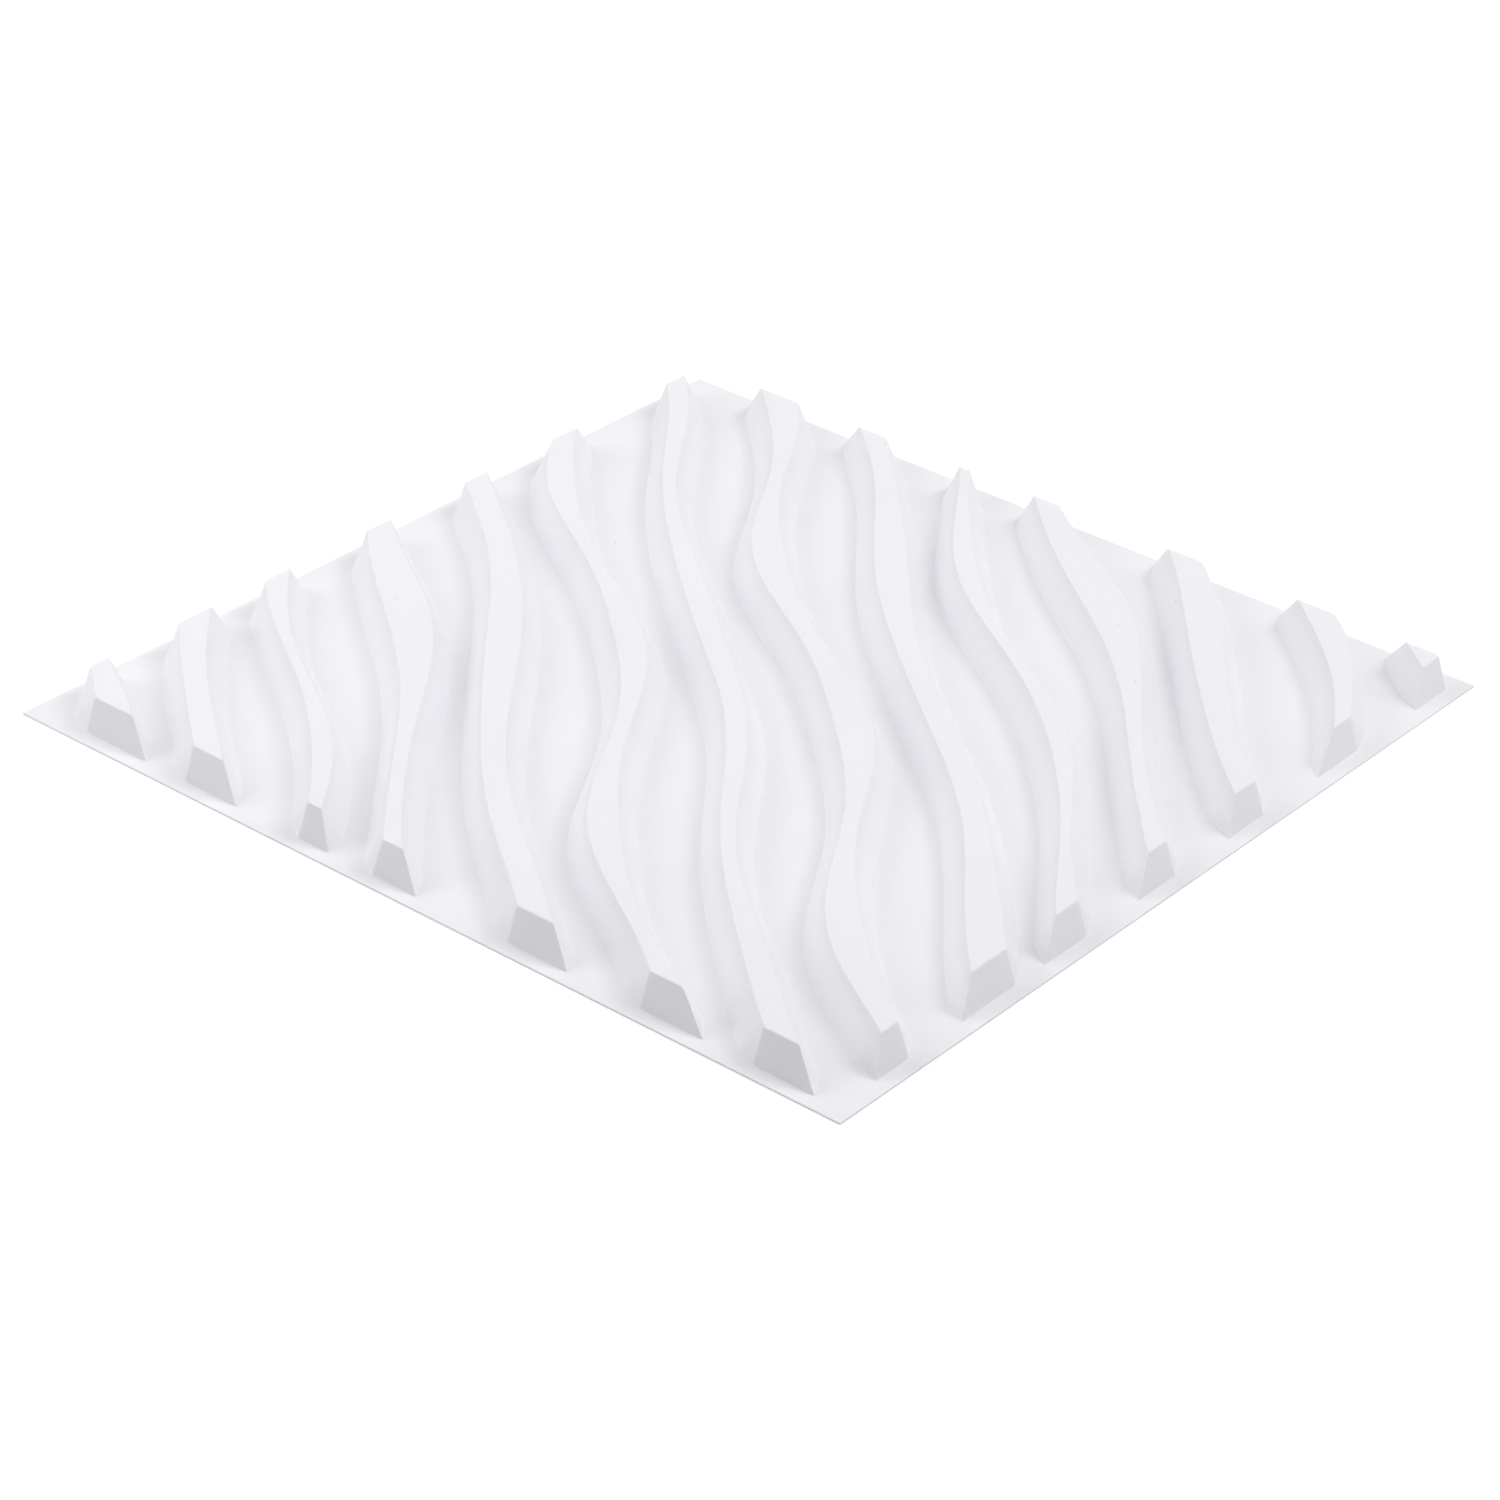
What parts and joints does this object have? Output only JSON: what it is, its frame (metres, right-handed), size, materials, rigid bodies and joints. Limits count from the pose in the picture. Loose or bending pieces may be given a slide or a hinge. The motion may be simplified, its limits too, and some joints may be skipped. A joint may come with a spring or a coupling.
{
  "type": "wall panel tile",
  "caption": "Square tile of thin white formed PVC sheet with wavy diagonal flat-topped ribs inside a narrow flat border, glued by its back to a wall as decorative relief cladding.",
  "frame": {"origin": "middle of the square back plane, which is glued to the wall", "axes": "+Z out of the wall, up as the tile lies on its back; X and Y along the sides of the square, the ribs running on the diagonal from -X +Y to +X -Y"},
  "size_m": [0.5, 0.5, 0.0185],
  "materials": {
    "white_pvc": "smooth matte white"
  },
  "bodies": {
    "root": {"wall_panel": "white_pvc"}
  },
  "joints": []
}
